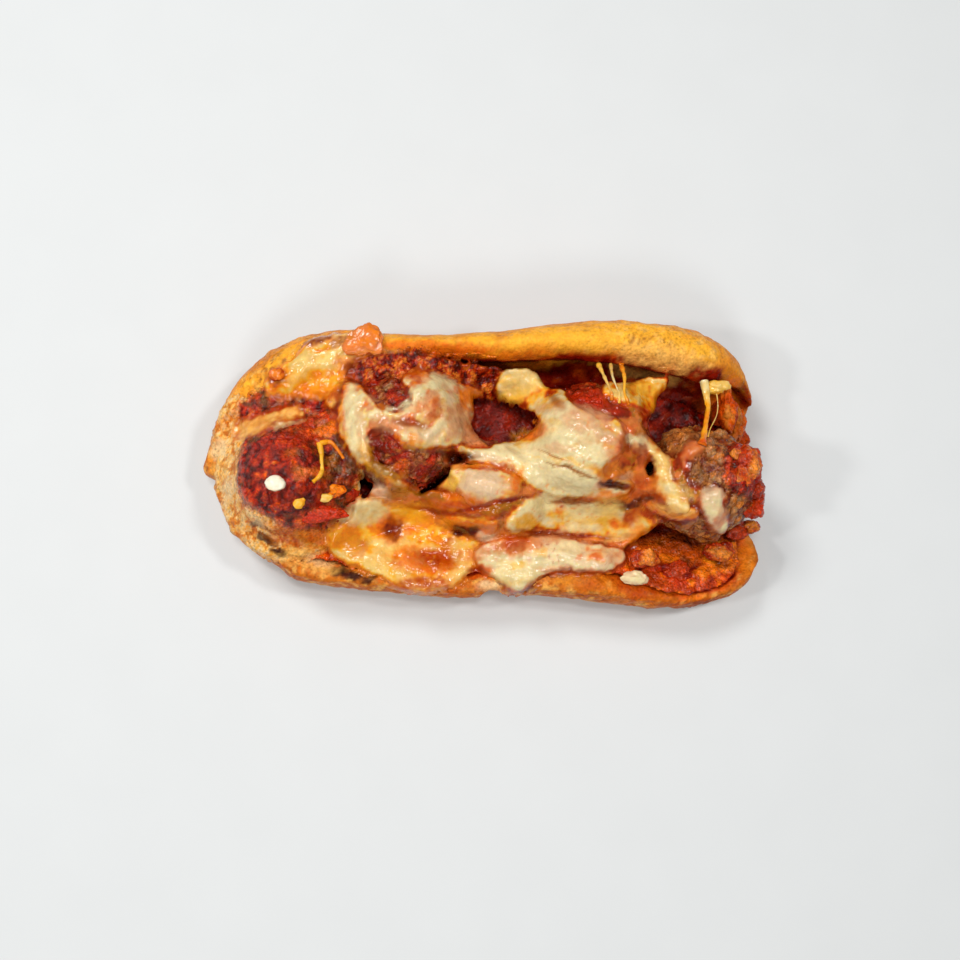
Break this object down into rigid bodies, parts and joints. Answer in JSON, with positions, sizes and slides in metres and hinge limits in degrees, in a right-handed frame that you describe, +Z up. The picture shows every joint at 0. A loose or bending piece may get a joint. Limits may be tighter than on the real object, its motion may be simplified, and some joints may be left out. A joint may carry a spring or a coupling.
{
  "type": "meatball pizza sandwich",
  "caption": "Open hinged bread roll, closed at one end, holding a row of meatballs in tomato sauce under draped and stretched melted cheese.",
  "frame": {"origin": "middle of the sandwich's length and width, on its flat underside", "axes": "+X along the roll from its closed end to its open end, +Y towards the tall back wall, +Z up"},
  "size_m": [0.2163, 0.1104, 0.0537],
  "materials": {
    "crust": "baked crust",
    "meat": "browned and oily",
    "sauce": "wet, glossy",
    "tomato": "wet, glossy",
    "garlic": "smooth, wet",
    "cheese": "melted, oily"
  },
  "bodies": {
    "root": {"roll": "crust", "meatball_left": "meat", "meatball_back_left": "meat", "meatball_middle": "meat", "meatball_back_right": "meat", "meatball_right": "meat", "sauce": "sauce", "sauce_over_left": "sauce", "sauce_over_right": "sauce", "tomato_chunk_left": "tomato", "tomato_chunk_front": "tomato", "tomato_chunk_corner": "tomato", "garlic_piece": "garlic", "cheese_back_rim": "cheese", "cheese_left_strip": "cheese", "cheese_front_left": "cheese", "cheese_fold": "cheese", "cheese_front": "cheese", "cheese_drip": "cheese", "cheese_back_left": "cheese", "cheese_middle": "cheese", "cheese_back_right": "cheese", "cheese_centre": "cheese", "cheese_right": "cheese", "cheese_right_patch": "cheese", "cheese_right_scrap": "cheese", "cheese_strand": "cheese"}
  },
  "joints": []
}
